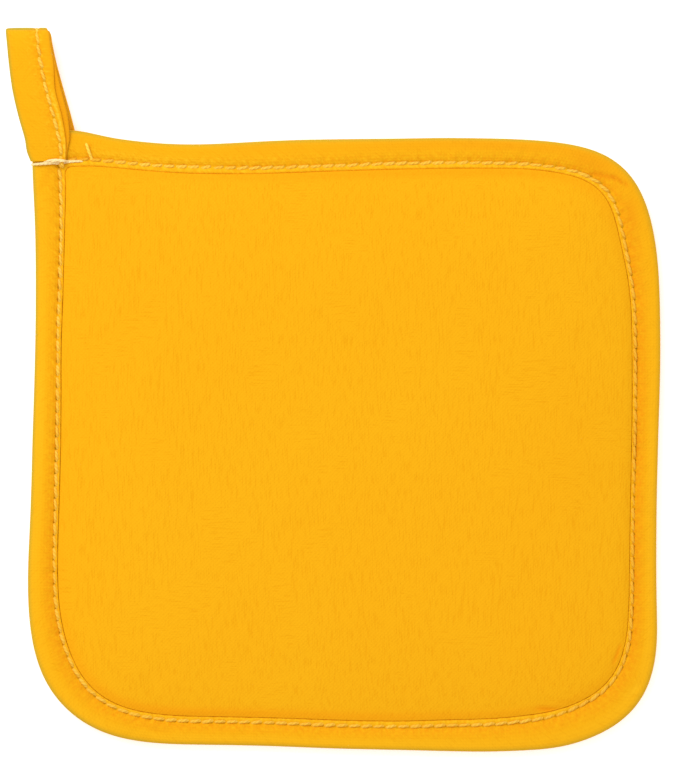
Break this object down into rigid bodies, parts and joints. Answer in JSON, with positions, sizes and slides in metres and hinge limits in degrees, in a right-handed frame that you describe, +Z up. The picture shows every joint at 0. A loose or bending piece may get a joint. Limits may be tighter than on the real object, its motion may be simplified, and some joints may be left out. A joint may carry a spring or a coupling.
{
  "type": "pot holder",
  "caption": "Square cloth pot holder: a filled pad with a folded tape sewn round its edge and a folded hanging loop at one corner, lying face up.",
  "frame": {"origin": "the middle of the pad's flat underside, on the surface it rests on", "axes": "+Z up out of the face, +Y towards the top edge where the loop stands out, +X towards the right edge"},
  "size_m": [0.2073, 0.2292, 0.0096],
  "materials": {
    "panel_cotton": "plain woven cotton, matt, warm yellow",
    "binding_cotton": "the same cotton cut on the bias and folded, matt, warm yellow",
    "sewing_thread": "spun polyester thread, soft sheen, light yellow",
    "tack_thread": "spun thread, soft sheen, cream"
  },
  "bodies": {
    "root": {"pad": "panel_cotton", "binding": "binding_cotton", "hanging_loop": "binding_cotton"}
  },
  "joints": []
}
